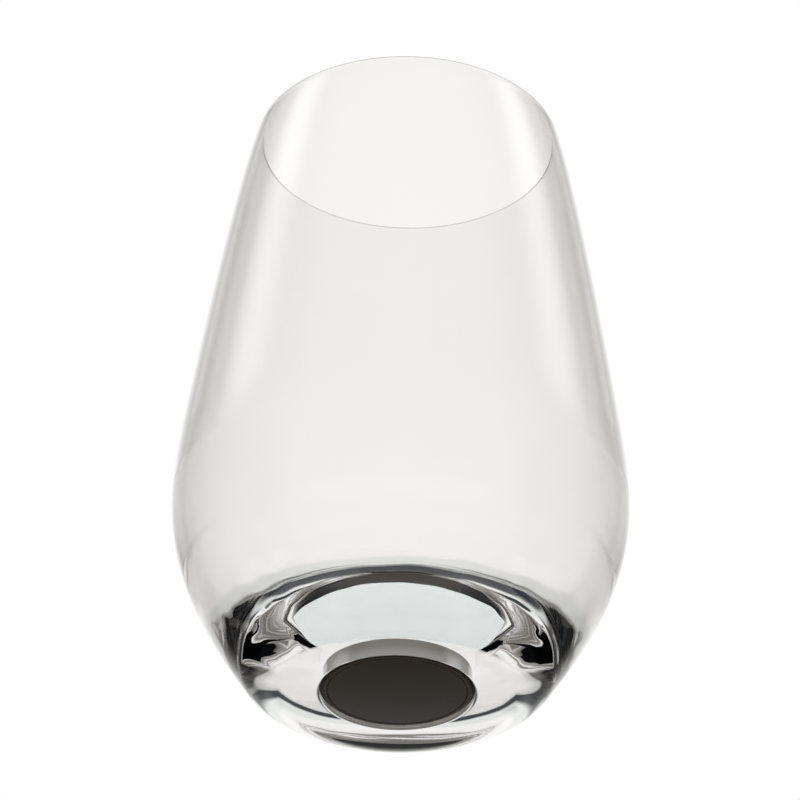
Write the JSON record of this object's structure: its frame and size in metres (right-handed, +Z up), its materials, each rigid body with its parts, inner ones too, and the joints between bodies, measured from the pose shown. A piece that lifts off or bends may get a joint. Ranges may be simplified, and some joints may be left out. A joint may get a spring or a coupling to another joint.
{
  "type": "highball glass",
  "caption": "Clear stemless highball glass with a tapered bowl, a thick base and a dark capped magnet bonded into a round recess in its underside.",
  "frame": {"origin": "centre of the flat standing ring, on the axis of the glass", "axes": "+Z up along the axis of the glass towards the rim; X and Y are level, and the glass is round about +Z"},
  "size_m": [0.0848, 0.0848, 0.1212],
  "materials": {
    "clear_glass": "clear crystal glass, fire-polished",
    "cover_plastic": "satin olive-black moulded cover",
    "nickel_plate": "nickel plating on a sintered magnet",
    "cured_adhesive": "cured white adhesive",
    "sealant": "cured dark sealant"
  },
  "bodies": {
    "root": {"glass_body": "clear_glass", "base_cap": "cover_plastic", "magnet_disc": "nickel_plate", "adhesive_bed": "cured_adhesive", "seal_bead": "sealant"}
  },
  "joints": []
}
